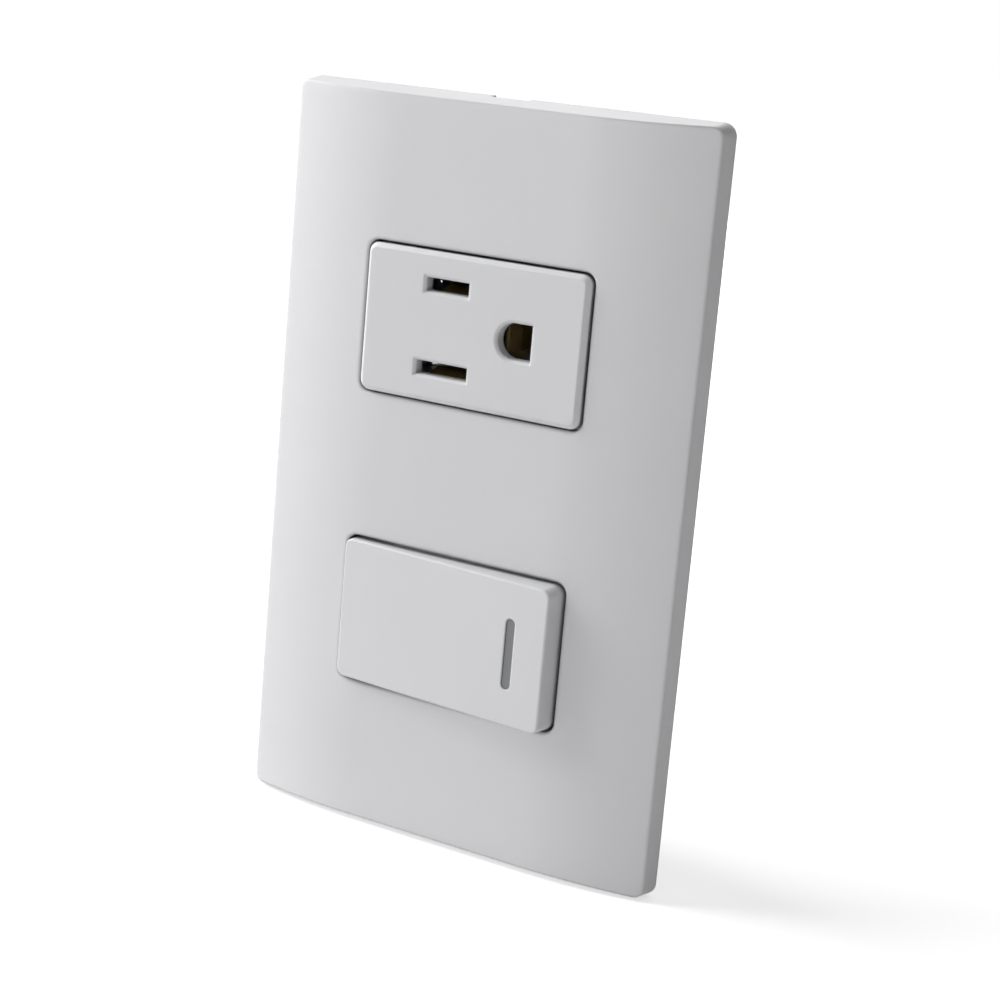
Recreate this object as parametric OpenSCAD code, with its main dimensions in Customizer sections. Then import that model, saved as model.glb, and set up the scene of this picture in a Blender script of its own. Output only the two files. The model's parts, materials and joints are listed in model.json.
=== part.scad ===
// Wall plate with a grounded socket above and a wide rocker switch below.
// Every piece is drawn facing up: x to the right, y up the wall, z out of the wall.
// facing() then stands the plate on its wall, with its front towards -Y.

/* [Cover plate] */
// Width of the plate at the wall
plate_w = 72; // [68:0.5:90]
// Height of the plate at the wall
plate_h = 116; // [114:0.5:130]
// How far the left and right edges stand off the wall
plate_edge = 3.3; // [3:0.1:5]
// How much further out the middle of the plate stands
plate_crown = 3.1; // [2.6:0.1:4]
// Width of the flat band down the middle
plate_flat_w = 30; // [20:0.5:36]
// Wall thickness of the plate
plate_wall = 2; // [1.6:0.1:2.2]
// Corner radius of the plate's outline
plate_corner_r = 2; // [1.6:0.1:4]
// Draft of the plate's four sides, in degrees
plate_draft = 8; // [4:0.5:9]
// Width of the screwdriver notch in the top and bottom edges
notch_w = 6; // [4:0.5:9]
// Depth of the screwdriver notch, away from the wall
notch_d = 1.1; // [0.8:0.1:1.5]

/* [Windows and module fronts] */
// Width of a module's front
front_w = 38; // [37.4:0.1:38.6]
// Height of a module's front
front_h = 22.8; // [22.4:0.1:23]
// Corner radius of a module's front
front_corner_r = 1.6; // [1.4:0.1:2]
// Gap between the fronts of two neighbouring modules
module_gap = 0.4; // [0.3:0.05:0.6]
// Gap between a module's front and its window
window_gap = 0.35; // [0.3:0.05:0.6]
// Lead-in chamfer around each window
window_lead = 0.4; // [0.3:0.1:0.8]
// How far the module fronts stand off the wall
front_out = 7.1; // [6.9:0.1:8.2]

/* [Mounting frame] */
// How far the frame stays inside the plate at the left and right
frame_inset_x = 5; // [4.5:0.1:6]
// How far the frame stays inside the plate at the top and bottom
frame_inset_y = 6; // [4.5:0.1:8]
// Thickness of the frame's flange
frame_t = 1.6; // [1.4:0.1:1.8]
// How far a module's front laps over its opening at each side
front_lap_x = 0.6; // [0.5:0.05:0.8]
// How far a module's front laps over its opening at the top and bottom
front_lap_y = 0.4; // [0.3:0.05:0.5]
// How far the collar round the openings reaches into the wall box
collar_d = 6; // [5:0.5:7]
// Wall of that collar
collar_wall = 2; // [1.6:0.1:2.4]
// Distance between the two wall-box screws
box_screw_spacing = 83.3; // [82:0.1:85]
// Radius of the wall-box screw holes
box_screw_hole_r = 2.1; // [1.8:0.1:2.4]

/* [Module bodies] */
// Clearance of a module's body in its opening
body_gap = 0.2; // [0.15:0.05:0.3]
// Wall of a module's body
body_wall = 1.5; // [1.3:0.1:1.6]
// Where the front and rear halves of a body meet, behind the wall
body_split = 9; // [8.5:0.5:10]
// How far a module reaches behind the wall
body_depth = 20; // [19:0.5:24]
// Floor of the rear half
floor_t = 2; // [1.6:0.1:2.4]
// How far the snap lugs stand out from a body's sides
lug_out = 0.7; // [0.5:0.1:0.8]

/* [Socket] */
// Thickness of the socket's face
socket_face_t = 2.2; // [1.8:0.1:3]
// Rounding of the face's edges
socket_edge = 0.7; // [0.5:0.1:1.1]
// Distance between the two blade slots
blade_spacing = 12.7; // [12.7:0.1:12.9]
// Distance from the line of the blade slots to the ground hole
ground_offset = 11.9; // [11.7:0.1:12.1]
// Distance of the blade slots from the middle of the face, to the left
blade_left = 4.7; // [4.3:0.1:5]
// Length of the line slot
line_slot_l = 7.3; // [7:0.1:7.6]
// Length of the neutral slot
neutral_slot_l = 8.8; // [8.5:0.1:9.2]
// Width of both blade slots
blade_slot_w = 2.1; // [1.9:0.1:2.4]
// Radius of the round side of the ground hole
ground_r = 2.75; // [2.6:0.05:3]
// Distance from the ground hole's centre to its flat side
ground_flat = 2.95; // [2.75:0.05:3.2]
// Chamfer around the slots
slot_flare = 0.4; // [0.2:0.05:0.45]

/* [Contacts] */
// Thickness of the sheet-metal contacts
strip_t = 0.6; // [0.5:0.05:0.8]
// Width of the contacts' strips
strip_w = 4.4; // [4:0.1:5]
// Half of the gap between a blade contact's leaves, at its narrowest
blade_throat = 0.6; // [0.5:0.05:0.7]
// Half of the gap between the ground contact's leaves, at its narrowest
ground_throat = 2.15; // [2.05:0.05:2.3]

/* [Terminals] */
// Radius of a terminal screw's shank
screw_r = 1.9; // [1.7:0.1:2]
// Radius of a terminal screw's head
screw_head_r = 2.75; // [2.6:0.05:2.9]
// Height of a terminal screw's head
screw_head_h = 1.6; // [1.4:0.1:1.8]
// Thickness of a terminal's tab
tab_t = 0.8; // [0.7:0.1:1]
// Width and height of a wire clamp
clamp_w = 5.6; // [5.4:0.1:5.8]
// Gap for the wire between a clamp and its tab
wire_gap = 0.4; // [0.2:0.1:0.6]

/* [Rocker] */
// Tilt of the rocker each side of level, in degrees
rocker_tilt = 4; // [3:0.5:4]
// How far the rocker's middle stands out beyond the socket's face
rocker_proud = 1.3; // [0.6:0.1:1.4]
// Depth of the rocker's skirt behind its face
rocker_skirt = 4.4; // [4:0.1:4.4]
// Wall of the rocker's skirt
rocker_wall = 1.3; // [1.1:0.1:1.4]
// Thickness of the rocker's face
rocker_face_t = 1.6; // [1.4:0.1:1.8]
// Draft of the rocker's sides, in degrees
rocker_draft = 3; // [2:0.5:6]
// Chamfer around the rocker's face
rocker_edge = 0.2; // [0.2:0.05:0.5]
// How far the rocker's pivot stands off the wall
pivot_out = 3.6; // [3.5:0.1:3.7]
// Radius of the pivot pins
pivot_r = 1.1; // [1:0.05:1.2]
// Running clearance round the pivot pins
pivot_gap = 0.05; // [0.03:0.01:0.08]
// Length of the locator strip in the rocker's face
locator_l = 11; // [9:0.5:13]
// Width of the locator strip
locator_w = 1.6; // [1.4:0.1:2.2]
// Distance of the locator strip from the middle of the face
locator_x = 12.6; // [10:0.1:14]

/* [Switch mechanism] */
// Radius of the plunger
plunger_r = 1.65; // [1.5:0.05:1.7]
// Sliding clearance of the plunger in its boss
plunger_gap = 0.07; // [0.05:0.01:0.1]
// Tilt of the contact bridge each side of level, in degrees
bridge_tilt = 5; // [4:0.5:6]
// Length of the contact bridge
bridge_l = 17; // [16:0.5:18]
// Width of the contact bridge
bridge_w = 5.4; // [5:0.1:5.6]
// Thickness of the contact bridge
bridge_t = 0.8; // [0.7:0.1:1]
// Depth of the bridge's pivot behind the wall
bridge_depth = 8.6; // [8.4:0.1:8.8]
// Radius of the bridge's trunnion
trunnion_r = 0.7; // [0.6:0.05:0.8]
// Radius of the contact tips
tip_r = 1.4; // [1.2:0.1:1.6]
// Height of each contact tip
tip_h = 0.9; // [0.7:0.1:1]

/* [Hidden] */
$fn = 64;
eps = 0.02;

// Module places up the wall, of which the middle one stays empty
module_pitch = front_h + module_gap;
opening_w = front_w - 2 * front_lap_x;
opening_h = front_h - 2 * front_lap_y;
socket_y = module_pitch;
switch_y = -module_pitch;

// Mounting frame
frame_w = plate_w - 2 * frame_inset_x;
frame_h = plate_h - 2 * frame_inset_y;
frame_corner_r = 3;
collar_corner_r = 2;
opening_corner_r = 0.6;

// Cover plate
plate_out = plate_edge + plate_crown;
crown_run = (plate_w - plate_flat_w) / 2;
crown_r = (crown_run * crown_run + plate_crown * plate_crown) / (2 * plate_crown);
window_w = front_w + 2 * window_gap;
window_h = front_h + 2 * window_gap;
window_corner_r = front_corner_r + window_gap / 2;
plate_inner_corner_r = plate_corner_r - 0.6;
notch_reach = 3;
hook_x = (frame_w / 2 + opening_w / 2 + collar_wall) / 2;
hook_y = 18;
hook_w = 7;
hook_t = 1.3;
hook_barb = 0.7;
hook_slot_gap = 0.4;
hook_seat = 0.1;
hook_reach = 2;
hook_slope = 0.6;
hook_root = 0.5;
rib_t = 1;
rib_gap = 0.5;
rib_offset = 2;

// Module bodies
body_w = opening_w - 2 * body_gap;
body_h = opening_h - 2 * body_gap;
body_corner_r = 1.2;
inner_w = body_w - 2 * body_wall;
inner_h = body_h - 2 * body_wall;
floor_z = floor_t - body_depth;
lug_w = 8;
lug_h = 2.4;
lug_land = 0.6;
lug_gap = 0.1;

// Posts and screws that hold the two halves of a body together
post_r = 2.2;
post_sink_x = 0.1;
post_sink_y = 0.4;
post_x = inner_w / 2 - post_r + post_sink_x;
post_y = inner_h / 2 - post_r + post_sink_y;
side_post_shift = 0.6;
case_screw_r = 1.1;
case_screw_gap = 0.1;
case_thread_gap = 0.02;
case_head_r = 1.8;
case_head_h = 1;
case_head_sink = 0.2;
case_slot = [0.5, 4, 0.4];
case_screw_top = -1.5;
case_hole_spare = 0.5;

// Terminals
terminal_rise = 0.4;
terminal_z = -(body_split + body_depth) / 2 + terminal_rise;
head_sink = 0.3;
head_edge = 0.4;
recess = [0.7, 3.8, 0.8];
clamp_x = body_w / 2 - head_sink - screw_head_h;
clamp_t = 0.8;
clamp_lip = 0.6;
clamp_hole_gap = 0.2;
tab_x = clamp_x - clamp_t - wire_gap;
tab_w = clamp_w;
tab_top = terminal_z + tab_w / 2;
thread_gap = 0.05;
terminal_window_gap = 0.3;
terminal_window = clamp_w + 2 * terminal_window_gap;

// Socket
ground_x = ground_offset - blade_left;
contact_top = 3;
clip_base_z = -7;
clip_throat_z = 0.2;
clip_inset = 0.4;
blade_base = blade_throat + 1.3;
blade_flare = blade_throat + 0.8;
line_clip_l = line_slot_l - clip_inset;
neutral_clip_l = neutral_slot_l - clip_inset;
ground_base = ground_throat + 0.5;
ground_flare = ground_throat + 0.7;
ground_clip_l = 5;
divider_t = 1.4;
divider_x = 1;

// The terminal screws end just short of the ground contact
screw_end_gap = 0.45;
screw_l = clamp_x - ground_x - ground_base - strip_t - screw_end_gap;

// Rocker, in its own frame with the pivot at the origin
rocker_w = front_w + 0.2;
rocker_h = front_h;
rocker_top = front_out - pivot_out + rocker_proud;
rocker_rim = rocker_top - rocker_skirt;
rocker_inset = tan(rocker_draft) * (rocker_skirt - rocker_edge);
rocker_ceiling = rocker_top - rocker_face_t;
rocker_inner_corner_r = 0.8;
skirt_inner_y = rocker_h / 2 - rocker_wall;
pin_boss_r = pivot_r + 0.8;
pin_boss_back = 0.1;
pin_over = 0.2;
cheek_gap = 0.2;
cheek_t = 1.35;
cheek_outer_y = skirt_inner_y - cheek_gap;
cheek_inner_y = cheek_outer_y - cheek_t;
cheek_r = pivot_r + 1.1;
stiffener_x = 9;
stiffener_t = 1;
stiffener_h = 1.4;
locator_t = 0.9;
locator_sink = 0.15;
locator_gap = 0.03;

// Switch deck, under the rocker
deck_top = 0.6;
deck_t = 1.4;
deck_window = [4 * plunger_r, 3.2 * plunger_r];
lip_w = 16;
lip_out = 0.6;
lip_t = 0.6;

// Plunger and spring, in the rocker's frame
boss_r = plunger_r + 1.05;
boss_clear = 0.8;
boss_end = deck_top + boss_clear - pivot_out;
bridge_top = bridge_t * 2;
plunger_clear = 0.15;
plunger_tip = -(bridge_depth + pivot_out) + bridge_top + plunger_clear;
plunger_top = -0.6;
spring_wire_r = 0.18;
spring_gap = 0.15;
spring_r = plunger_r - spring_wire_r - spring_gap;
peg_r = spring_r - spring_wire_r - spring_gap;
peg_h = 1.2;
spring_turns = 5;
spring_steps = 14;
spring_low = plunger_top + spring_wire_r;
spring_high = rocker_ceiling - spring_wire_r;

// Bridge, cradle and tips
trunnion_gap = 0.05;
trunnion_over = 0.3;
web_inset = 0.4;
cradle_t = 0.8;
cradle_gap = 0.25;
cradle_inner_y = bridge_w / 2 + cradle_gap;
cradle_half_w = 1.9;
cradle_over = 0.5;
tip_x = bridge_l / 2 - tip_r;
tip_gap = 0.1;
moving_tip_low = -bridge_depth - (tip_x + tip_r) * sin(bridge_tilt)
    + (bridge_t - tip_h) * cos(bridge_tilt);
fixed_tip_top = moving_tip_low - tip_gap;
shelf_top = fixed_tip_top - tip_h;
stop_t = 1.4;
stop_gap = 0.2;
stop_x = -bridge_l / 2 + 0.6;
stop_top = -bridge_depth + bridge_t * cos(bridge_tilt) - bridge_l / 2 * sin(bridge_tilt) - stop_gap;
stop_low = floor_z + strip_t + 0.6;
stop_under = 0.3;

// Places of the case screws, and of the terminals with the side that each is on
socket_places = [[side_post_shift - post_x, 0], [post_x, post_y], [post_x, -post_y]];
socket_terminals = [[-1, blade_spacing / 2], [-1, -blade_spacing / 2], [1, 0]];
switch_places = [[post_x, post_y], [-post_x, -post_y]];
switch_terminals = [[-1, 0], [1, 0]];

plastic_white = [0.86, 0.86, 0.87];
plastic_grey = [0.72, 0.73, 0.74];
brass_tone = [0.8, 0.66, 0.35];
nickel_tone = [0.75, 0.75, 0.77];
silver_tone = [0.85, 0.86, 0.88];

// Stands a piece on the wall
module facing() {
    rotate([90, 0, 0]) children();
}

// Rectangle with round corners
module rounded_rect(w, h, r) {
    square([w - 2 * r, h], center = true);
    square([w, h - 2 * r], center = true);
    for (sx = [-1, 1], sy = [-1, 1])
        translate([sx * (w / 2 - r), sy * (h / 2 - r)]) circle(r);
}

// Block with round corners whose sides lean in by inset over its height
module drafted_block(w, h, r, t, inset) {
    for (turn = [[0, w, h], [90, h, w]])
        rotate([0, 0, turn[0]])
            rotate([90, 0, 0])
                linear_extrude(turn[2] - 2 * r, center = true)
                    polygon([[-turn[1] / 2, 0], [turn[1] / 2, 0],
                        [turn[1] / 2 - inset, t], [inset - turn[1] / 2, t]]);
    for (sx = [-1, 1], sy = [-1, 1])
        translate([sx * (w / 2 - r), sy * (h / 2 - r), 0])
            cylinder(h = t, r1 = r, r2 = r - inset);
}

// Turns a shape that was drawn along z so that it lies along x, to the side given
module along_x(side) {
    rotate([0, 90 * side, 0]) children();
}

// Section of the plate across its width, moved in or out by grow
module crown_section(grow) {
    top = plate_out + grow;
    translate([-plate_flat_w / 2, 0]) square([plate_flat_w, top]);
    for (side = [0, 1])
        mirror([side, 0])
            intersection() {
                translate([plate_flat_w / 2, plate_out - crown_r]) circle(crown_r + grow, $fn = 180);
                translate([plate_flat_w / 2 - eps, 0]) square([crown_run + eps, top]);
            }
}

// Solid form of the plate, before it is hollowed
module plate_body(margin, grow, corner_r) {
    inset = tan(plate_draft) * plate_out;
    intersection() {
        rotate([90, 0, 0])
            linear_extrude(plate_h, center = true) crown_section(grow);
        drafted_block(plate_w - 2 * margin, plate_h - 2 * margin, corner_r, plate_out, inset);
    }
}

// Depth of the plate's inner face at a distance from its middle
function ceiling_at(x) =
    plate_out - crown_r
    + sqrt(pow(crown_r - plate_wall, 2) - pow(max(0, abs(x) - plate_flat_w / 2), 2));

module hook() {
    top = ceiling_at(hook_x + hook_t);
    rotate([90, 0, 0])
        linear_extrude(hook_w, center = true)
            polygon([[0, -hook_reach], [hook_t, -hook_reach],
                [hook_t + hook_barb, -hook_seat - hook_slope], [hook_t + hook_barb, -hook_seat],
                [hook_t, -hook_seat], [hook_t, top + hook_root], [0, top + hook_root]]);
}

module plate_ribs() {
    low = frame_t + rib_gap;
    for (side = [-1, 1])
        translate([side * (window_w / 2 + rib_offset) - rib_t / 2, -plate_h / 2 + plate_wall, low])
            cube([rib_t, plate_h - 2 * plate_wall, plate_out - plate_wall - low]);
    for (y = [-1, 1] * (socket_y + window_h / 2 + rib_offset))
        translate([-window_w / 2 - rib_offset, y - rib_t / 2, low])
            cube([window_w + 2 * rib_offset, rib_t, plate_out - plate_wall - low + eps]);
}

module cover_plate() {
    color(plastic_white) facing() {
        difference() {
            plate_body(0, 0, plate_corner_r);
            translate([0, 0, -eps]) plate_body(plate_wall, -plate_wall, plate_inner_corner_r);
            for (y = [socket_y, switch_y])
                translate([0, y, 0]) {
                    linear_extrude(plate_out + 1) rounded_rect(window_w, window_h, window_corner_r);
                    translate([0, 0, plate_out - window_lead])
                        drafted_block(window_w, window_h, window_corner_r,
                            window_lead + eps, -window_lead - eps);
                }
            for (side = [-1, 1])
                translate([-notch_w / 2, side * plate_h / 2 - notch_reach, -1])
                    cube([notch_w, 2 * notch_reach, notch_d + 1]);
        }
        plate_ribs();
        for (sx = [0, 1], sy = [-1, 1])
            mirror([sx, 0, 0]) translate([hook_x, sy * hook_y, 0]) hook();
    }
}

module box_hole_places() {
    for (side = [-1, 1]) translate([0, side * box_screw_spacing / 2, 0]) children();
}

module mounting_frame() {
    collar_w = opening_w + 2 * collar_wall;
    collar_h = 2 * module_pitch + opening_h + 2 * collar_wall;
    color(plastic_grey) facing()
        difference() {
            union() {
                linear_extrude(frame_t) rounded_rect(frame_w, frame_h, frame_corner_r);
                translate([0, 0, -collar_d])
                    linear_extrude(collar_d + eps)
                        rounded_rect(collar_w, collar_h, collar_corner_r);
            }
            for (y = [socket_y, 0, switch_y])
                translate([0, y, -collar_d - 1])
                    linear_extrude(collar_d + frame_t + 2)
                        rounded_rect(opening_w, opening_h, opening_corner_r);
            box_hole_places() translate([0, 0, -1]) cylinder(h = frame_t + 2, r = box_screw_hole_r);
            for (sx = [-1, 1], sy = [-1, 1])
                translate([sx * (hook_x + hook_t / 2), sy * hook_y, -1])
                    linear_extrude(frame_t + 2)
                        square([hook_t + 2 * hook_slot_gap, hook_w + 2 * hook_slot_gap], center = true);
        }
}

module body_shell(z0, z1) {
    translate([0, 0, z0]) linear_extrude(z1 - z0) rounded_rect(body_w, body_h, body_corner_r);
}

module snap_lugs() {
    for (side = [0, 1])
        mirror([side, 0, 0])
            translate([body_w / 2 - eps, 0, -collar_d - lug_gap])
                rotate([90, 0, 0])
                    linear_extrude(lug_w, center = true)
                        polygon([[0, 0], [lug_out, 0], [lug_out, -lug_land], [0, -lug_h]]);
}

// Front half of a body: a shell open to the rear, hollow up to its roof, with posts for
// the case screws and, as children, what stands on its front
module front_half(top, roof, places) {
    difference() {
        union() {
            difference() {
                union() {
                    body_shell(-body_split, top);
                    children();
                }
                translate([0, 0, -body_split - 1])
                    linear_extrude(roof + body_split + 1) square([inner_w, inner_h], center = true);
            }
            snap_lugs();
            for (p = places)
                translate([p[0], p[1], -body_split])
                    cylinder(h = body_split + roof + eps, r = post_r);
        }
        for (p = places)
            translate([p[0], p[1], -body_split - 1])
                cylinder(h = body_split + 1 + case_screw_top + case_hole_spare,
                    r = case_screw_r + case_thread_gap);
    }
}

// Rear half of a body: a cup with posts, and windows for the terminal screws
module rear_half(places, terminals) {
    difference() {
        union() {
            difference() {
                body_shell(-body_depth, -body_split);
                translate([0, 0, floor_z])
                    linear_extrude(body_depth) square([inner_w, inner_h], center = true);
            }
            for (p = places)
                translate([p[0], p[1], -body_depth]) cylinder(h = body_depth - body_split, r = post_r);
            children();
        }
        for (p = places)
            translate([p[0], p[1], -body_depth - 1]) {
                cylinder(h = body_depth, r = case_screw_r + case_screw_gap);
                cylinder(h = 1 + case_head_sink + case_head_h, r = case_head_r + case_screw_gap);
            }
        for (t = terminals)
            translate([t[0] * body_w / 2, t[1], terminal_z])
                cube([3 * body_wall, terminal_window, terminal_window], center = true);
    }
}

module case_screws(places) {
    for (p = places)
        translate([p[0], p[1], -body_depth + case_head_sink]) {
            difference() {
                cylinder(h = case_head_h, r = case_head_r);
                cube([case_slot[0], case_slot[1], 2 * case_slot[2]], center = true);
            }
            translate([0, 0, case_head_h - eps])
                cylinder(h = body_depth - case_head_sink - case_head_h + case_screw_top,
                    r = case_screw_r);
        }
}

// Slot with a chamfered mouth, cut from the face at z = 0 downwards
module blade_slot(l, w, depth) {
    translate([0, 0, -depth]) linear_extrude(depth + 1) square([l, w], center = true);
    intersection() {
        slot_mouth(l, w);
        rotate([0, 0, 90]) slot_mouth(w, l);
    }
}

// Wedge that opens from a width at slot_flare deep to a wider mouth
module slot_mouth(l, w) {
    rotate([90, 0, 0])
        linear_extrude(w + 4 * slot_flare, center = true)
            polygon([[-l / 2, -slot_flare], [l / 2, -slot_flare],
                [l / 2 + 2 * slot_flare, slot_flare], [-l / 2 - 2 * slot_flare, slot_flare]]);
}

// D-shaped hole for the ground pin, round to the left and flat to the right
module ground_hole(depth) {
    translate([0, 0, -depth]) linear_extrude(depth + 1) {
        circle(ground_r);
        translate([0, -ground_r]) square([ground_flat, 2 * ground_r]);
    }
    translate([0, 0, -slot_flare])
        cylinder(h = 2 * slot_flare, r1 = ground_r, r2 = ground_r + 2 * slot_flare);
    intersection() {
        translate([ground_flat / 2, 0, 0]) slot_mouth(ground_flat, 2 * ground_r);
        translate([ground_flat / 2, 0, 0]) rotate([0, 0, 90]) slot_mouth(2 * ground_r, ground_flat);
    }
}

module socket_housing() {
    color(plastic_white) facing() translate([0, socket_y, 0])
        difference() {
            front_half(frame_t + eps, front_out - socket_face_t, socket_places) {
                translate([0, 0, frame_t])
                    linear_extrude(front_out - frame_t - socket_edge)
                        rounded_rect(front_w, front_h, front_corner_r);
                translate([0, 0, front_out - socket_edge])
                    drafted_block(front_w, front_h, front_corner_r, socket_edge, socket_edge);
            }
            translate([-blade_left, blade_spacing / 2, front_out])
                blade_slot(line_slot_l, blade_slot_w, socket_face_t + 1);
            translate([-blade_left, -blade_spacing / 2, front_out])
                blade_slot(neutral_slot_l, blade_slot_w, socket_face_t + 1);
            translate([ground_x, 0, front_out]) ground_hole(socket_face_t + 1);
        }
}

module socket_base() {
    color(plastic_grey) facing() translate([0, socket_y, 0])
        rear_half(socket_places, socket_terminals) {
            translate([-inner_w / 2 + 2 * post_r, -divider_t / 2, floor_z - eps])
                cube([inner_w / 2 - 2 * post_r + divider_x + eps, divider_t, -body_split - floor_z]);
            translate([divider_x, -inner_h / 2, floor_z - eps])
                cube([divider_t, inner_h, -body_split - floor_z]);
        }
}

// Strip-metal spring clip with two leaves that close at a throat, drawn across x
module spring_clip(l, base, throat, flare) {
    t = strip_t;
    rotate([90, 0, 90])
        linear_extrude(l, center = true) {
            for (side = [0, 1])
                mirror([side, 0])
                    polygon([[base, floor_z], [base + t, floor_z], [base + t, clip_base_z],
                        [throat + t, clip_throat_z], [flare + t, contact_top],
                        [flare, contact_top], [throat, clip_throat_z], [base, clip_base_z]]);
            translate([-base - eps, floor_z]) square([2 * base + 2 * eps, t]);
        }
}

// Strip along the floor from a place to the terminal, with the tab for its screw
module terminal_strip(side, from_x) {
    run = tab_x - side * from_x;
    flip = side > 0 ? 0 : 1;
    mirror([flip, 0, 0])
        difference() {
            union() {
                translate([side * from_x, -strip_w / 2, floor_z]) cube([run, strip_w, strip_t]);
                translate([tab_x - tab_t, -tab_w / 2, floor_z])
                    cube([tab_t, tab_w, tab_top - floor_z]);
            }
            translate([tab_x - tab_t - 1, 0, terminal_z])
                rotate([0, 90, 0]) cylinder(h = tab_t + 2, r = screw_r + thread_gap);
        }
}

module blade_contact(l, y) {
    facing() translate([0, socket_y + y, 0]) {
        translate([-blade_left, 0, 0]) spring_clip(l, blade_base, blade_throat, blade_flare);
        terminal_strip(-1, -blade_left - l / 2 + eps);
    }
}

module line_contact() {
    color(brass_tone) blade_contact(line_clip_l, blade_spacing / 2);
}

module neutral_contact() {
    color(brass_tone) blade_contact(neutral_clip_l, -blade_spacing / 2);
}

module ground_contact() {
    color(brass_tone) facing() translate([0, socket_y, 0]) {
        translate([ground_x, 0, 0])
            rotate([0, 0, 90]) spring_clip(ground_clip_l, ground_base, ground_throat, ground_flare);
        terminal_strip(1, ground_x + ground_base);
    }
}

// Pan-head terminal screw with a cross recess, its head outwards
module terminal_screw(side, y) {
    facing() translate([side * clamp_x, y, terminal_z]) along_x(side)
        difference() {
            union() {
                cylinder(h = screw_head_h - head_edge, r = screw_head_r);
                translate([0, 0, screw_head_h - head_edge])
                    cylinder(h = head_edge, r1 = screw_head_r, r2 = screw_head_r - head_edge);
                translate([0, 0, -screw_l]) cylinder(h = screw_l + eps, r = screw_r);
            }
            for (a = [0, 90])
                rotate([0, 0, a]) translate([0, 0, screw_head_h])
                    cube([recess[0], recess[1], 2 * recess[2]], center = true);
        }
}

// Square wire clamp under a terminal screw's head, with two lips that trap the wire
module wire_clamp(side, y) {
    facing() translate([side * clamp_x, y, terminal_z]) along_x(side)
        translate([0, 0, -clamp_t])
            difference() {
                union() {
                    linear_extrude(clamp_t) square(clamp_w, center = true);
                    for (s = [-1, 1])
                        translate([s * (clamp_w - clamp_lip) / 2, 0, -wire_gap / 4])
                            cube([clamp_lip, clamp_w, wire_gap / 2 + eps], center = true);
                }
                translate([0, 0, -1]) cylinder(h = clamp_t + 2, r = screw_r + clamp_hole_gap);
            }
}

module line_screw() { color(brass_tone) terminal_screw(-1, socket_y + blade_spacing / 2); }
module neutral_screw() { color(nickel_tone) terminal_screw(-1, socket_y - blade_spacing / 2); }
module ground_screw() { color([0.2, 0.5, 0.3]) terminal_screw(1, socket_y); }
module line_clamp() { color(nickel_tone) wire_clamp(-1, socket_y + blade_spacing / 2); }
module neutral_clamp() { color(nickel_tone) wire_clamp(-1, socket_y - blade_spacing / 2); }
module ground_clamp() { color(nickel_tone) wire_clamp(1, socket_y); }
module common_screw() { color(nickel_tone) terminal_screw(-1, switch_y); }
module load_screw() { color(brass_tone) terminal_screw(1, switch_y); }
module common_clamp() { color(nickel_tone) wire_clamp(-1, switch_y); }
module load_clamp() { color(nickel_tone) wire_clamp(1, switch_y); }

module socket_case_screws() {
    color(nickel_tone) facing() translate([0, socket_y, 0]) case_screws(socket_places);
}

module switch_case_screws() {
    color(nickel_tone) facing() translate([0, switch_y, 0]) case_screws(switch_places);
}

// Cheek beside the rocker's skirt, with the bore that a pivot pin turns in
module cheek() {
    translate([0, cheek_outer_y, 0])
        rotate([90, 0, 0])
            difference() {
                linear_extrude(cheek_t) {
                    translate([0, pivot_out]) circle(cheek_r);
                    translate([-cheek_r, deck_top - eps]) square([2 * cheek_r, pivot_out - deck_top]);
                }
                translate([0, pivot_out, -1]) cylinder(h = cheek_t + 2, r = pivot_r + pivot_gap);
            }
}

module switch_housing() {
    color(plastic_white) facing() translate([0, switch_y, 0]) {
        difference() {
            union() {
                front_half(deck_top, deck_top - deck_t, switch_places);
                for (side = [0, 1])
                    mirror([side, 0, 0])
                        translate([body_w / 2 - body_wall, -lip_w / 2, deck_top - eps]) {
                            cube([body_wall, lip_w, frame_t + lip_t - deck_top + eps]);
                            translate([body_wall - eps, 0, frame_t - deck_top + eps])
                                cube([lip_out + body_gap, lip_w, lip_t]);
                        }
            }
            translate([0, 0, deck_top - 2 * deck_t])
                linear_extrude(3 * deck_t) square(deck_window, center = true);
        }
        for (side = [0, 1]) mirror([0, side, 0]) cheek();
    }
}

module switch_base() {
    color(plastic_grey) facing() translate([0, switch_y, 0])
        rear_half(switch_places, switch_terminals) {
            translate([stop_x - stop_t / 2, -inner_h / 2 - eps, stop_low])
                cube([stop_t, inner_h + 2 * eps, -body_split - stop_under - stop_low]);
            translate([stop_x - stop_t / 2, -bridge_w / 2, stop_low])
                cube([stop_t, bridge_w, stop_top - stop_low]);
        }
}

// Places a piece that was drawn in the rocker's own frame
module on_rocker() {
    facing() translate([0, switch_y, pivot_out]) rotate([0, -rocker_tilt, 0]) children();
}

module locator_shape(grow) {
    w = locator_w + 2 * grow;
    l = locator_l + 2 * grow;
    translate([locator_x, 0]) {
        square([w, l - w], center = true);
        for (side = [-1, 1]) translate([0, side * (l - w) / 2]) circle(w / 2);
    }
}

module rocker_shell() {
    difference() {
        union() {
            translate([0, 0, rocker_rim])
                drafted_block(rocker_w, rocker_h, front_corner_r,
                    rocker_skirt - rocker_edge, rocker_inset);
            translate([0, 0, rocker_top - rocker_edge - eps])
                drafted_block(rocker_w - 2 * rocker_inset, rocker_h - 2 * rocker_inset,
                    front_corner_r - rocker_inset, rocker_edge + eps, rocker_edge);
        }
        translate([0, 0, rocker_rim - 1])
            linear_extrude(rocker_ceiling - rocker_rim + 1)
                rounded_rect(rocker_w - 2 * rocker_wall, rocker_h - 2 * rocker_wall,
                    rocker_inner_corner_r);
        translate([0, 0, rocker_top - locator_t]) linear_extrude(locator_t + 1) locator_shape(0);
    }
}

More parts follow.
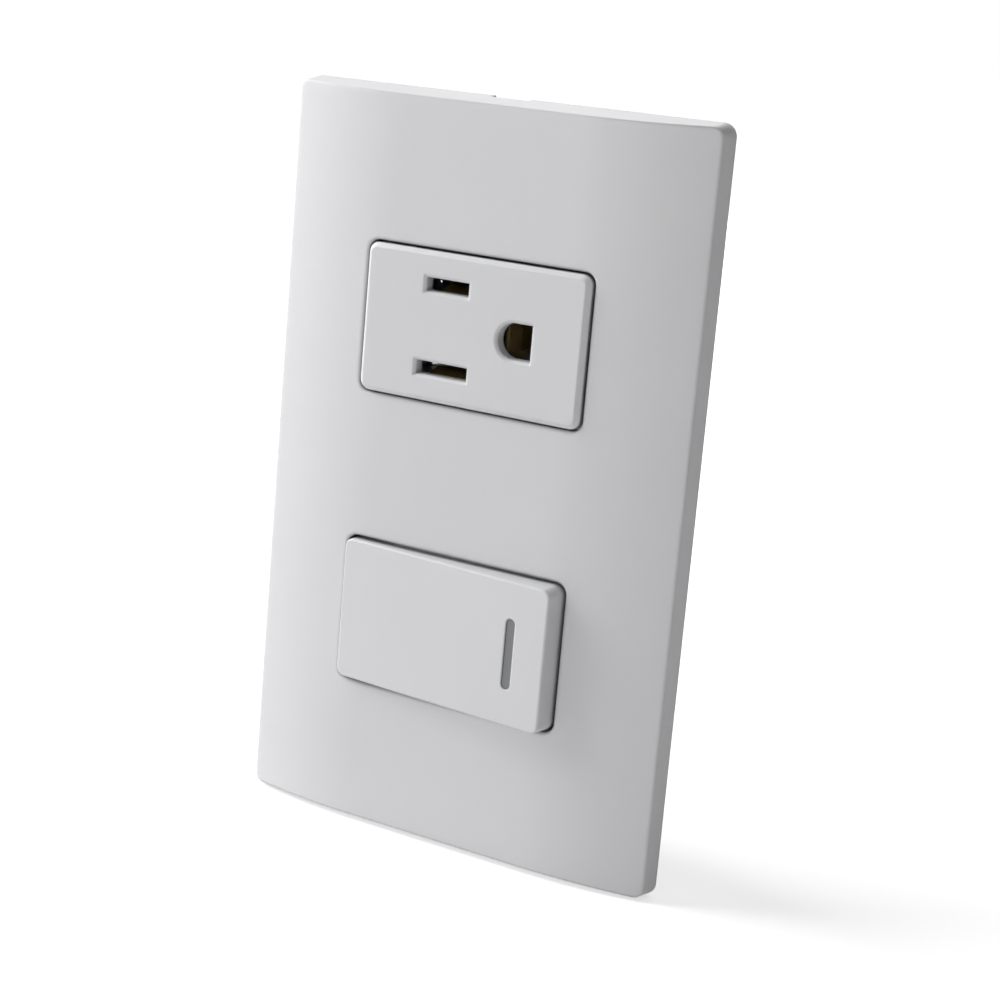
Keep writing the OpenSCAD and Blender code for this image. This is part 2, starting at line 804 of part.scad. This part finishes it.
module rocker() {
    color(plastic_white) on_rocker()
        difference() {
            union() {
                rocker_shell();
                for (side = [0, 1])
                    mirror([0, side, 0])
                        translate([0, skirt_inner_y, 0])
                            rotate([-90, 0, 0]) {
                                cylinder(h = rocker_wall - pin_boss_back, r = pin_boss_r);
                                translate([0, 0, cheek_inner_y - skirt_inner_y - pin_over])
                                    cylinder(h = skirt_inner_y - cheek_inner_y + pin_over + eps,
                                        r = pivot_r);
                            }
                translate([0, 0, boss_end])
                    cylinder(h = rocker_ceiling - boss_end + eps, r = boss_r);
                for (side = [-1, 1])
                    translate([side * stiffener_x - stiffener_t / 2, -skirt_inner_y - eps,
                            rocker_ceiling - stiffener_h])
                        cube([stiffener_t, 2 * (skirt_inner_y + eps), stiffener_h + eps]);
            }
            translate([0, 0, boss_end - 1])
                cylinder(h = rocker_ceiling - boss_end + 1, r = plunger_r + plunger_gap);
        }
}

module locator_strip() {
    color([0.5, 0.51, 0.52]) on_rocker()
        translate([0, 0, rocker_top - locator_t])
            linear_extrude(locator_t - locator_sink) locator_shape(-locator_gap);
}

module plunger() {
    color(silver_tone) on_rocker() {
        translate([0, 0, plunger_tip + plunger_r])
            cylinder(h = plunger_top - plunger_tip - plunger_r, r = plunger_r);
        translate([0, 0, plunger_tip + plunger_r]) sphere(plunger_r);
        translate([0, 0, plunger_top - eps]) cylinder(h = peg_h, r = peg_r);
    }
}

// Compression spring: a round wire swept along a helix
module plunger_spring() {
    sides = 8;
    rings = spring_turns * spring_steps;
    function ring_at(i) = [for (k = [0:sides - 1])
        let (a = 360 * i / spring_steps, b = 360 * k / sides,
            r = spring_r + spring_wire_r * cos(b),
            z = spring_low + (spring_high - spring_low) * i / rings)
        [r * cos(a), r * sin(a), z + spring_wire_r * sin(b)]];
    points = [for (i = [0:rings]) each ring_at(i)];
    walls = [for (i = [0:rings - 1], k = [0:sides - 1])
        [i * sides + k, i * sides + (k + 1) % sides,
            (i + 1) * sides + (k + 1) % sides, (i + 1) * sides + k]];
    start = [for (k = [sides - 1:-1:0]) k];
    finish = [for (k = [0:sides - 1]) rings * sides + k];
    color(silver_tone) on_rocker() polyhedron(points, concat(walls, [start, finish]));
}

// Places a piece that was drawn in the bridge's own frame, with its pivot at the origin
module on_bridge() {
    facing() translate([0, switch_y, -bridge_depth]) rotate([0, bridge_tilt, 0]) children();
}

module contact_bridge() {
    color(brass_tone) on_bridge() {
        translate([-bridge_l / 2, -bridge_w / 2, bridge_t]) cube([bridge_l, bridge_w, bridge_t]);
        rotate([90, 0, 0])
            cylinder(h = 2 * (cradle_inner_y + cradle_t + trunnion_over), r = trunnion_r,
                center = true);
        translate([-trunnion_r, -bridge_w / 2 + web_inset, 0])
            cube([2 * trunnion_r, bridge_w - 2 * web_inset, bridge_t + eps]);
    }
}

module moving_tip() {
    color(silver_tone) on_bridge()
        translate([tip_x, 0, bridge_t - tip_h]) cylinder(h = tip_h, r = tip_r);
}

module fixed_tip() {
    color(silver_tone) facing()
        translate([tip_x, switch_y, shelf_top]) cylinder(h = tip_h, r = tip_r);
}

// Terminal with the two notched ears that carry the bridge's trunnion
module common_terminal() {
    ear_top = -bridge_depth + cradle_over;
    color(brass_tone) facing() translate([0, switch_y, 0]) {
        terminal_strip(-1, cradle_half_w);
        translate([-cradle_half_w, -cradle_inner_y - cradle_t, floor_z])
            cube([2 * cradle_half_w, 2 * (cradle_inner_y + cradle_t), strip_t]);
        for (side = [0, 1])
            mirror([0, side, 0])
                translate([0, cradle_inner_y + cradle_t, 0])
                    rotate([90, 0, 0])
                        difference() {
                            translate([-cradle_half_w, floor_z, 0])
                                cube([2 * cradle_half_w, ear_top - floor_z, cradle_t]);
                            translate([0, -bridge_depth, -1])
                                cylinder(h = cradle_t + 2, r = trunnion_r + trunnion_gap);
                            translate([-trunnion_r - trunnion_gap, -bridge_depth, -1])
                                cube([2 * (trunnion_r + trunnion_gap), 2 * cradle_over,
                                    cradle_t + 2]);
                        }
    }
}

module load_terminal() {
    color(brass_tone) facing() translate([0, switch_y, 0]) {
        terminal_strip(1, tip_x + tip_r);
        translate([tip_x + tip_r, -strip_w / 2, floor_z])
            cube([tab_t, strip_w, shelf_top - floor_z]);
        translate([tip_x - tip_r, -strip_w / 2, shelf_top - tab_t])
            cube([2 * tip_r + eps, strip_w, tab_t]);
    }
}

cover_plate();
mounting_frame();
socket_housing();
socket_base();
line_contact();
neutral_contact();
ground_contact();
line_screw();
neutral_screw();
ground_screw();
line_clamp();
neutral_clamp();
ground_clamp();
socket_case_screws();
switch_housing();
switch_base();
rocker();
locator_strip();
plunger();
plunger_spring();
contact_bridge();
moving_tip();
fixed_tip();
common_terminal();
load_terminal();
common_screw();
load_screw();
common_clamp();
load_clamp();
switch_case_screws();
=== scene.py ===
import bpy
import json
import math
from mathutils import Euler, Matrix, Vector


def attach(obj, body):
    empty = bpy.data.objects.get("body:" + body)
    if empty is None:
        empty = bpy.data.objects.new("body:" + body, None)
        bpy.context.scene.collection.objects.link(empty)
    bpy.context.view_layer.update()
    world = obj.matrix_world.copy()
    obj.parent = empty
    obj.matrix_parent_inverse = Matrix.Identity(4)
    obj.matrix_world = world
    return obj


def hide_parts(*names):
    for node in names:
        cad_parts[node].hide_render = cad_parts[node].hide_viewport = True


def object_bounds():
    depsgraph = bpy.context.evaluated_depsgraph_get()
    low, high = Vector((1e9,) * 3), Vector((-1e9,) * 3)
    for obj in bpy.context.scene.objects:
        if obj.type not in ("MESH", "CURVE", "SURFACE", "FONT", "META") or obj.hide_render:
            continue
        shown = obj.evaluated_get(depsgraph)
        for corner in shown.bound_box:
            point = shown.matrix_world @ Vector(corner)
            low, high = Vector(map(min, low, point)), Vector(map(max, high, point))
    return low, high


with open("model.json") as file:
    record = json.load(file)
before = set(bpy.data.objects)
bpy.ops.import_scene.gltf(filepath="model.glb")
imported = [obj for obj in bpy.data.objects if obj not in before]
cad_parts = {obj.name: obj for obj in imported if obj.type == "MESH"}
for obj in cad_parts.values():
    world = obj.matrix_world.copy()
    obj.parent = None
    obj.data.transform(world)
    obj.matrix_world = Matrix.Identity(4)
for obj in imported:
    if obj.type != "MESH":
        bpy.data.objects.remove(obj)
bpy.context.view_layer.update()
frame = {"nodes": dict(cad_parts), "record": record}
mm = 0.001


def linear(code):  # sRGB hex to the linear colour that a shader takes
    out = []
    for k in (0, 2, 4):
        c = int(code[k:k + 2], 16) / 255
        out.append(c / 12.92 if c <= 0.04045 else ((c + 0.055) / 1.055) ** 2.4)
    return (*out, 1)


def addNode(tree, kind, settings=None, values=None, links=None):
    node = tree.nodes.new("ShaderNode" + kind)
    for name, value in (settings or {}).items():
        setattr(node, name, value)
    for name, value in (values or {}).items():
        node.inputs[name].default_value = value
    for name, source in (links or {}).items():
        tree.links.new(source, node.inputs[name])
    return node


def newMaterial(name, shader):  # a material with one principled shader, set up from a dictionary
    made = bpy.data.materials.new(name)
    made.use_nodes = True
    tree = made.node_tree
    tree.nodes.clear()
    surface = addNode(tree, "BsdfPrincipled", values=shader)
    addNode(tree, "OutputMaterial", links={"Surface": surface.outputs["BSDF"]})
    place = addNode(tree, "TexCoord").outputs["Object"]
    return made, tree, surface, place


def perMm(size):  # a pattern's scale in Blender for features of that size in millimetres
    return 1 / (size * mm)


# camera at the photograph's angle, a little right of and above the plate
cameraPlace = {
    "placeMm": (159.886, -290.008, 78.714),
    "turnDegrees": (77.7216, -4.5509, 31.3078),
    "lensMm": 79.966,
    "shift": (0.07, -0.07),
}
cameraData = bpy.data.cameras.new("photoCamera")
cameraData.lens = cameraPlace["lensMm"]
cameraData.sensor_width = 36
cameraData.shift_x, cameraData.shift_y = cameraPlace["shift"]
cameraData.clip_start, cameraData.clip_end = 0.01, 20
camera = bpy.data.objects.new("photoCamera", cameraData)
camera.location = Vector(cameraPlace["placeMm"]) * mm
camera.rotation_euler = Euler([math.radians(a) for a in cameraPlace["turnDegrees"]])
bpy.context.collection.objects.link(camera)
bpy.context.scene.camera = camera
print("camera placed")


edgeSamples = {"gloss": 8, "other": 6}  # rays that a soft edge is averaged from


# painted shade: a colour is darkened deep inside narrow gaps and slots, where little open sky is seen;
# openness is the share of open sky at which it stays as written, least the darkest share of it
def paintedDeepShade(tree, colour, reachMm, openness=0.75, least=0.3):
    openSky = addNode(tree, "AmbientOcclusion", {"samples": 8}, {"Distance": reachMm * mm})
    shade = addNode(tree, "MapRange", values={
        "From Min": 0.1, "From Max": openness, "To Min": least, "To Max": 1.0},
        links={"Value": openSky.outputs["AO"]})
    return addNode(tree, "MixRGB", {"blend_type": "MULTIPLY"}, {"Fac": 1.0}, {
        "Color1": colour, "Color2": shade.outputs["Result"]}).outputs["Color"]


# glossy mouldings: a fine spark-eroded skin that breaks up the gloss, edges that shade softly, and
# painted shade in gaps and slots
def mouldedGloss(name, colour, cloudy, roughness, grainMm, grainDepthMm, edgeMm, cloudMm=14):
    made, tree, surface, place = newMaterial(name, {
        "Base Color": linear(colour), "Roughness": roughness, "IOR": 1.53})
    clouds = addNode(tree, "TexNoise", values={"Scale": perMm(cloudMm), "Detail": 3.0},
                     links={"Vector": place})
    tint = addNode(tree, "MixRGB", values={"Color1": linear(colour), "Color2": linear(cloudy)},
                   links={"Fac": clouds.outputs["Fac"]})
    # painted shade: the tint darkens where walls close in within 1.2 mm, as in the gaps around windows
    tree.links.new(paintedDeepShade(tree, tint.outputs["Color"], reachMm=1.2), surface.inputs["Base Color"])
    tone = addNode(tree, "MapRange", values={
        "From Min": 0.3, "From Max": 0.7, "To Min": roughness - 0.03, "To Max": roughness + 0.03},
        links={"Value": clouds.outputs["Fac"]})
    tree.links.new(tone.outputs["Result"], surface.inputs["Roughness"])
    grain = addNode(tree, "TexNoise", values={"Scale": perMm(grainMm), "Detail": 2.0},
                    links={"Vector": place})
    softEdge = addNode(tree, "Bevel", {"samples": edgeSamples["gloss"]}, {"Radius": edgeMm * mm})
    skin = addNode(tree, "Bump", values={"Strength": 0.25, "Distance": grainDepthMm * mm},
                   links={"Height": grain.outputs["Fac"], "Normal": softEdge.outputs["Normal"]})
    tree.links.new(skin.outputs["Normal"], surface.inputs["Normal"])
    return made


# matt mouldings: faint flow marks, a fibre grain that takes the gloss away, and painted shade in hollows
def mattMoulding(name, light, dark, roughness, flowMm=6, fibreMm=0.25, fibreDepthMm=0.03, edgeMm=0.25):
    made, tree, surface, place = newMaterial(name, {
        "Base Color": linear(light), "Roughness": roughness, "Specular IOR Level": 0.2})
    flow = addNode(tree, "TexNoise", values={"Scale": perMm(flowMm), "Detail": 4.0, "Distortion": 0.8},
                   links={"Vector": place})
    mix = addNode(tree, "MixRGB", values={"Color1": linear(light), "Color2": linear(dark)},
                  links={"Fac": flow.outputs["Fac"]})
    # painted shade: the colour darkens where walls close in within 3 mm, as inside the housings
    tree.links.new(paintedDeepShade(tree, mix.outputs["Color"], reachMm=3, openness=0.5),
                   surface.inputs["Base Color"])
    fibre = addNode(tree, "TexNoise", values={"Scale": perMm(fibreMm), "Detail": 3.0},
                    links={"Vector": place})
    softEdge = addNode(tree, "Bevel", {"samples": edgeSamples["other"]}, {"Radius": edgeMm * mm})
    skin = addNode(tree, "Bump", values={"Strength": 0.4, "Distance": fibreDepthMm * mm},
                   links={"Height": fibre.outputs["Fac"], "Normal": softEdge.outputs["Normal"]})
    tree.links.new(skin.outputs["Normal"], surface.inputs["Normal"])
    return made


# rolled or turned metal: fine lines along one way, by how far the pattern is squeezed along x, y
# and z, a little tarnish, and painted shade deep in slots and housings
def workedMetal(name, bright, dull, roughness, squeeze, depthMm, tarnishMm=2.5, lineMm=0.4, edgeMm=0.08):
    made, tree, surface, place = newMaterial(name, {
        "Base Color": linear(bright), "Metallic": 1.0, "Roughness": roughness})
    tarnish = addNode(tree, "TexNoise", values={"Scale": perMm(tarnishMm), "Detail": 3.0},
                      links={"Vector": place})
    mix = addNode(tree, "MixRGB", values={"Color1": linear(bright), "Color2": linear(dull)},
                  links={"Fac": tarnish.outputs["Fac"]})
    # painted shade: the colour darkens to as little as 0.12 where walls close in within 3 mm, as on
    # contacts in slots
    tree.links.new(paintedDeepShade(tree, mix.outputs["Color"], reachMm=3, openness=0.8, least=0.12),
                   surface.inputs["Base Color"])
    lines = addNode(tree, "Mapping", values={"Scale": squeeze}, links={"Vector": place})
    drawn = addNode(tree, "TexNoise", values={"Scale": perMm(lineMm), "Detail": 2.0},
                    links={"Vector": lines.outputs["Vector"]})
    spread = addNode(tree, "MapRange", values={
        "From Min": 0.3, "From Max": 0.7, "To Min": roughness - 0.08, "To Max": roughness + 0.1},
        links={"Value": drawn.outputs["Fac"]})
    tree.links.new(spread.outputs["Result"], surface.inputs["Roughness"])
    softEdge = addNode(tree, "Bevel", {"samples": edgeSamples["other"]}, {"Radius": edgeMm * mm})
    skin = addNode(tree, "Bump", values={"Strength": 0.3, "Distance": depthMm * mm},
                   links={"Height": drawn.outputs["Fac"], "Normal": softEdge.outputs["Normal"]})
    tree.links.new(skin.outputs["Normal"], surface.inputs["Normal"])
    return made


finishes = {
    # ABS from a spark-eroded mould: a soft sheen with no sharp highlight
    "plate_plastic": mouldedGloss("satinWhiteAbs", "DEDEE0", "DBDBDD", roughness=0.52,
                                  grainMm=0.3, grainDepthMm=0.012, edgeMm=0.9),
    # polycarbonate from a finer mould: a little glossier than the plate, with crisper edges
    "front_plastic": mouldedGloss("satinWhitePolycarbonate", "DEDEE0", "DBDBDD", roughness=0.48,
                                  grainMm=0.25, grainDepthMm=0.008, edgeMm=0.5),
    # moulded nylon with short glass fibres: pale grey and quite dull
    "frame_plastic": mattMoulding("glassFilledNylon", "BFC0C2", "B2B3B6", roughness=0.6),
    # urea pressed in a hot mould: a cooler grey, hard and faintly marbled
    "base_plastic": mattMoulding("pressedUrea", "B4B6B9", "A9ABAE", roughness=0.55),
    # tinted polycarbonate from a polished mould: the shiniest plastic here
    "locator_plastic": mouldedGloss("greyPolycarbonate", "7C7D7F", "767779", roughness=0.3,
                                    grainMm=0.3, grainDepthMm=0.004, edgeMm=0.2),
    # unfilled nylon: creamy and a little waxy
    "plunger_nylon": mattMoulding("naturalNylon", "E6E2D6", "DCD7C8", roughness=0.45),
    # brass strip cut and bent in a press: rolling lines and a dull yellow from storage
    "contact_brass": workedMetal("stampedBrass", "C9B382", "A08C5E", roughness=0.5,
                                 squeeze=(1, 1, 12), depthMm=0.01),
    # brass turned on a lathe: brighter and smoother than the strip
    "screw_brass": workedMetal("turnedBrass", "E2BE76", "CFA85C", roughness=0.24,
                               squeeze=(1, 1, 1), depthMm=0.006),
    # nickel plating on a cold-headed screw: a warm mirror that is slightly blurred
    "screw_plated": workedMetal("nickelPlate", "D3D2CE", "BDBCB8", roughness=0.22,
                                squeeze=(1, 1, 1), depthMm=0.006),
    # zinc plating dyed green: metallic, with the colour in its reflections
    "screw_green": workedMetal("greenDyedZinc", "4F8A5C", "3D7048", roughness=0.34,
                               squeeze=(1, 1, 1), depthMm=0.006),
    # rolled steel with bright zinc: a bluish grey with lines across the plate
    "clamp_steel": workedMetal("zincPlatedSteel", "C4C6C9", "A9ABAF", roughness=0.36,
                               squeeze=(1, 8, 1), depthMm=0.01),
    # drawn spring wire: grey, with fine marks of the die
    "spring_steel": workedMetal("springWire", "B9B8B4", "9C9B98", roughness=0.3,
                                squeeze=(1, 6, 1), depthMm=0.004),
    # silver alloy riveted into the contacts: nearly white and evenly smooth
    "tip_silver": workedMetal("silverContactAlloy", "E4E3DE", "CFCEC8", roughness=0.3,
                              squeeze=(1, 1, 1), depthMm=0.004),
}
slotOf = {part["node"]: part["material_slot"] for part in frame["record"]["subparts"]}
bodyOf = {name: body for body, names in frame["record"]["behaviour"]["bodies"].items()
          for name in names}
for name, node in frame["nodes"].items():
    node.data.materials.clear()
    node.data.materials.append(finishes[slotOf[name]])
print("materials made")


def ownCopy(name):  # a node's own form as a new piece, with its loose triangles joined
    source = frame["nodes"][name]
    piece = source.copy()
    piece.data = source.data.copy()
    piece.name = piece.data.name = "soft_" + name
    bpy.context.collection.objects.link(piece)
    bpy.ops.object.select_all(action="DESELECT")
    bpy.context.view_layer.objects.active = piece
    piece.select_set(True)
    bpy.ops.object.mode_set(mode="EDIT")
    bpy.ops.mesh.select_all(action="SELECT")
    bpy.ops.mesh.remove_doubles(threshold=0.002 * mm)
    bpy.ops.mesh.dissolve_limited(angle_limit=math.radians(0.3))
    bpy.ops.mesh.select_all(action="DESELECT")
    bpy.ops.object.mode_set(mode="OBJECT")
    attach(piece, bodyOf[name])
    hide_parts(name)
    return piece


def roundEdges(piece, radiusMm, sharpFrom, segments=3):  # every edge sharper than that angle
    rounding = piece.modifiers.new("rounding", "BEVEL")
    rounding.width = radiusMm * mm
    rounding.segments = segments
    rounding.limit_method = "ANGLE"
    rounding.angle_limit = math.radians(sharpFrom)
    rounding.miter_outer = "MITER_ARC"
    bpy.ops.object.modifier_apply(modifier="rounding")
    bpy.ops.object.shade_smooth_by_angle(angle=math.radians(50))
    flatter = piece.modifiers.new("flatter", "WEIGHTED_NORMAL")  # large faces stay flat beside them
    flatter.weight = 80
    flatter.keep_sharp = True
    bpy.ops.object.modifier_apply(modifier="flatter")


# the three pieces that show most: a moulding has no edge as sharp as a drawn one
coverPlate = {"edgeRadiusMm": 0.35, "sharpFromDegrees": 30}
socketFront = {"edgeRadiusMm": 0.4, "sharpFromDegrees": 25}
rockerButton = {"edgeRadiusMm": 0.3, "sharpFromDegrees": 25}
softened = {"cover_plate": coverPlate, "socket_housing": socketFront, "rocker": rockerButton}
for name, facts in softened.items():
    roundEdges(ownCopy(name), facts["edgeRadiusMm"], facts["sharpFromDegrees"])
print("edges rounded")

# the socket's rear half: corners of its terminal openings are round, as in a moulding, which also
# keeps daylight out of the slots; the edges of the openings run through the wall, along x
socketRear = {"wallMm": 1.5, "openFromMm": 10.9, "openToMm": 17.3, "cornerMm": 2.3, "segments": 6}
piece = ownCopy("socket_base")
for edge in piece.data.edges:
    a, b = (piece.data.vertices[end].co / mm for end in edge.vertices)
    throughWall = abs(abs(a.x - b.x) - socketRear["wallMm"]) < 0.05 and (a - b).yz.length < 0.01
    edge.select = throughWall and socketRear["openFromMm"] < a.y < socketRear["openToMm"]
bpy.context.tool_settings.mesh_select_mode = (False, True, False)
bpy.ops.object.mode_set(mode="EDIT")
bpy.ops.mesh.bevel(offset=socketRear["cornerMm"] * mm, segments=socketRear["segments"], affect="EDGES")
bpy.ops.object.mode_set(mode="OBJECT")
bpy.ops.object.shade_smooth_by_angle(angle=math.radians(40))

# the frame: the bars above and below the unused middle place reach a little further in, so that
# no daylight shows between the plate and the socket
frameBars = {"edgeFromMm": 10.3, "edgeToMm": 11.01, "halfWidthMm": 17.8, "furtherMm": 0.4}
piece = ownCopy("mounting_frame")
for vertex in piece.data.vertices:
    x, y, z = vertex.co / mm
    if abs(x) < frameBars["halfWidthMm"] and frameBars["edgeFromMm"] < abs(z) < frameBars["edgeToMm"]:
        vertex.co.z -= math.copysign(frameBars["furtherMm"] * mm, z)
print("openings dressed")


# 1 where the camera, a gloss or a clear piece sees a surface, 0 where that surface lights others
def seenDirectly(tree):
    rays = addNode(tree, "LightPath")
    gloss = addNode(tree, "Math", {"operation": "MAXIMUM"}, links={
        0: rays.outputs["Is Camera Ray"], 1: rays.outputs["Is Glossy Ray"]})
    clear = addNode(tree, "Math", {"operation": "MAXIMUM"}, links={
        0: gloss.outputs[0], 1: rays.outputs["Is Transmission Ray"]})
    return clear.outputs[0]


# pale floor that turns to plain white away from the plate, and keeps its shadow
floorFacts = {"sizeMm": 6000, "nearMm": 120, "farMm": 700, "nearGlow": 0.6, "farGlow": 1.0}
low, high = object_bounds()
bpy.ops.object.select_all(action="DESELECT")
bpy.ops.mesh.primitive_plane_add(size=floorFacts["sizeMm"] * mm, location=(0, 0, low.z))
bpy.ops.object.transform_apply(location=True, rotation=True, scale=True)
floor = bpy.context.object
floor.name = "studioFloor"
floorPaint, tree, surface, place = newMaterial("paleStudioFloor", {
    "Base Color": linear("E9E9E9"), "Roughness": 0.9, "Specular IOR Level": 0.1})
away = addNode(tree, "VectorMath", {"operation": "LENGTH"}, links={0: place})
fade = addNode(tree, "MapRange", values={
    "From Min": floorFacts["nearMm"] * mm, "From Max": floorFacts["farMm"] * mm,
    "To Min": floorFacts["nearGlow"], "To Max": floorFacts["farGlow"]},
    links={"Value": away.outputs["Value"]})
lift = addNode(tree, "Math", {"operation": "MULTIPLY"}, links={
    0: fade.outputs["Result"], 1: seenDirectly(tree)})
glow = addNode(tree, "Emission", values={"Color": (1, 1, 1, 1)}, links={"Strength": lift.outputs[0]})
both = addNode(tree, "AddShader", links={0: surface.outputs["BSDF"], 1: glow.outputs["Emission"]})
tree.links.new(both.outputs["Shader"], tree.nodes["Material Output"].inputs["Surface"])
floor.data.materials.append(floorPaint)

# an even white tent: weak as a light, and plain white where it is seen
lightTent = {"fill": 0.12, "seen": 1.0}
world = bpy.data.worlds.new("lightTent")
bpy.context.scene.world = world
world.use_nodes = True
tree = world.node_tree
tree.nodes.clear()
fill = addNode(tree, "Background", values={"Color": (1, 1, 1, 1), "Strength": lightTent["fill"]})
white = addNode(tree, "Background", values={"Color": (1, 1, 1, 1), "Strength": lightTent["seen"]})
choose = addNode(tree, "MixShader", links={
    "Fac": seenDirectly(tree), 1: fill.outputs["Background"], 2: white.outputs["Background"]})
addNode(tree, "OutputWorld", links={"Surface": choose.outputs["Shader"]})

lamps = {  # each lamp's place, size and power; all aim at the plate's middle
    "keyLamp": {"placeMm": (-726, -128, 516), "sizeMm": 700, "watts": 10.8},
    "frontLamp": {"placeMm": (0, -886, 156), "sizeMm": 700, "watts": 1.9},
    "backLamp": {"placeMm": (-228, 850, 187), "sizeMm": 700, "watts": 2.5},
}
for name, lamp in lamps.items():
    data = bpy.data.lights.new(name, "AREA")
    data.size = lamp["sizeMm"] * mm
    data.energy = lamp["watts"]
    light = bpy.data.objects.new(name, data)
    light.location = Vector(lamp["placeMm"]) * mm
    light.rotation_euler = (-light.location).to_track_quat("-Z", "Y").to_euler()
    bpy.context.collection.objects.link(light)
bpy.context.scene.view_settings.view_transform = "Standard"
print("studio lit")
